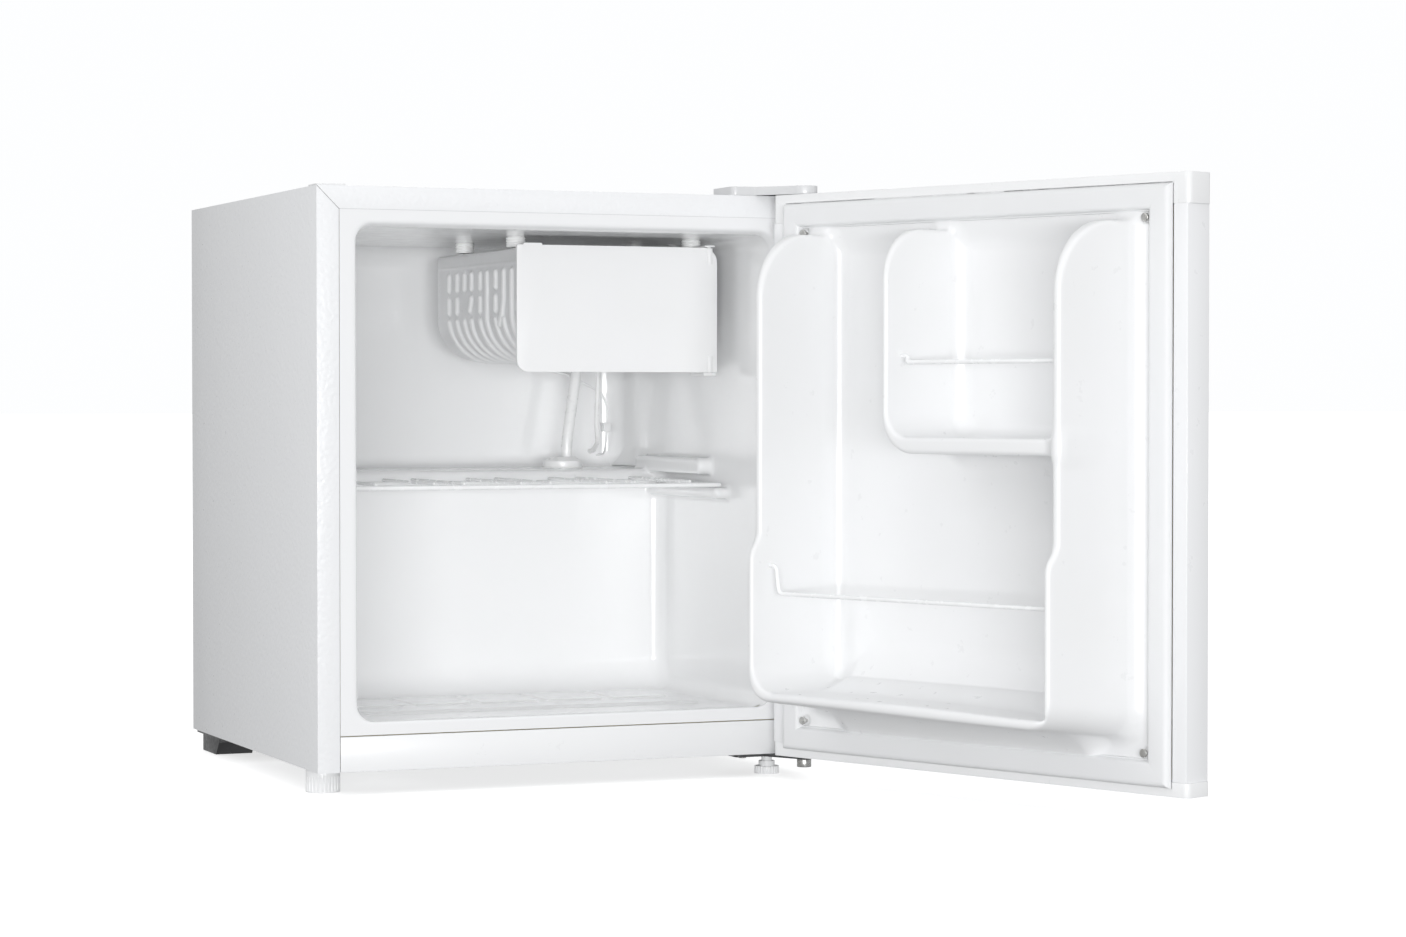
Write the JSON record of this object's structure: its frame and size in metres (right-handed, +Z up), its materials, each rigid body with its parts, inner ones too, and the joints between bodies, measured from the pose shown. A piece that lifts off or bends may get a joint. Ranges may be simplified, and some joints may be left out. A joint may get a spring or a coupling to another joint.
{
  "type": "mini fridge",
  "caption": "Compact refrigerator with its door standing open: hung freezer box with a flap, wire shelf, bottle racks in the door, rear cooling unit",
  "frame": {"origin": "On the floor, under the middle of the cabinet: midway between its sides and midway between its front edge and its back", "axes": "+X is the cabinet's right side seen from the front, where the hinge is; -Y is the door side; +Z is up"},
  "size_m": [0.5848, 0.8504, 0.5055],
  "materials": {
    "shell_paint": "fine pebble grain, satin",
    "white_plastic": "smooth moulded, semi-gloss",
    "liner_plastic": "vacuum-formed, semi-gloss",
    "soft_seal": "soft matt",
    "black_plate": "black paint, satin",
    "black_plastic": "moulded, matt",
    "foam": "cellular foam",
    "zinc": "zinc plated",
    "galvanised": "galvanised sheet",
    "roll_bond": "coated aluminium, satin",
    "wire_coat": "white coated wire, gloss",
    "copper": "drawn copper tube",
    "black_rubber": "moulded rubber",
    "magnet": "bonded magnet strip",
    "relay_plastic": "moulded, matt"
  },
  "bodies": {
    "cabinet": {"outer_shell": "shell_paint", "front_strip": "shell_paint", "inner_liner": "liner_plastic", "cabinet_foam": "foam", "back_panel": "galvanised", "bay_panel": "galvanised", "compressor_base": "black_plate", "blanking_cap": "white_plastic", "top_hinge_plate": "zinc", "top_hinge_cover": "white_plastic", "bottom_hinge_plate": "black_plate", "hinge_pins": "zinc", "hinge_screws": "zinc", "foot_nuts": "zinc", "evaporator": "roll_bond", "evaporator_posts": "white_plastic", "evaporator_screws": "zinc", "freezer_back_plate": "roll_bond", "flap_lugs": "white_plastic", "flap_stop": "white_plastic", "suction_sleeve": "white_plastic", "pipe_grommet": "white_plastic", "return_tube": "roll_bond", "sensor_capillary": "zinc", "capillary_clip": "white_plastic", "compressor_shell": "black_plate", "compressor_feet": "black_plate", "compressor_grommets": "black_rubber", "compressor_bolts": "zinc", "terminal_cover": "black_plastic", "start_relay": "relay_plastic", "condenser_tube": "black_plate", "condenser_wires": "black_plate", "condenser_brackets": "black_plastic", "filter_drier": "copper", "discharge_tube": "copper", "suction_tube": "copper", "process_tube": "copper", "evaporation_tray": "black_plastic", "thermostat_housing": "black_plastic", "cord_gland": "black_rubber"},
    "door": {"door_panel": "shell_paint", "door_top_cap": "white_plastic", "door_bottom_cap": "white_plastic", "door_foam": "foam", "door_liner": "liner_plastic", "door_gasket": "soft_seal", "gasket_magnets": "magnet", "door_screws": "zinc", "door_bushes": "white_plastic", "upper_rail": "wire_coat"},
    "bottle_rail": {"lower_rail": "wire_coat"},
    "freezer_door": {"freezer_flap": "white_plastic"},
    "shelf": {"shelf_rails": "wire_coat", "shelf_wires": "wire_coat"},
    "left_foot": {"left_front_foot": "white_plastic"},
    "right_foot": {"right_front_foot": "white_plastic"},
    "knob": {"thermostat_knob": "white_plastic"}
  },
  "joints": [
    {"name": "door_hinge", "type": "hinge", "parent": "cabinet", "child": "door", "pos_m": [0.203, -0.23, 0.25], "axis": [0, 0, 1], "range_deg": [-111.4, 23.6]},
    {"name": "bottle_rail_swing", "type": "hinge", "parent": "door", "child": "bottle_rail", "pos_m": [0.19188, -0.45239, 0.187], "axis": [-0.3649, 0.9311, 0], "range_deg": [0, 35]},
    {"name": "freezer_flap_hinge", "type": "hinge", "parent": "cabinet", "child": "freezer_door", "pos_m": [0.1625, -0.117, 0.402], "axis": [0, 0, 1], "range_deg": [0, 75]},
    {"name": "shelf_slide", "type": "slide", "parent": "cabinet", "child": "shelf", "axis": [0, -1, 0], "range_m": [0, 0.11]},
    {"name": "thermostat_turn", "type": "hinge", "parent": "cabinet", "child": "knob", "pos_m": [0.15, 0.2035, 0.207], "axis": [0, 1, 0], "range_deg": [0, 300]},
    {"name": "left_foot_turn", "type": "hinge", "parent": "cabinet", "child": "left_foot", "pos_m": [-0.2045, -0.1655, 0.01], "axis": [0, 0, 1], "range_deg": [0, 340]},
    {"name": "right_foot_turn", "type": "hinge", "parent": "cabinet", "child": "right_foot", "pos_m": [0.189, -0.1825, 0.008], "axis": [0, 0, 1], "range_deg": [0, 340]}
  ]
}
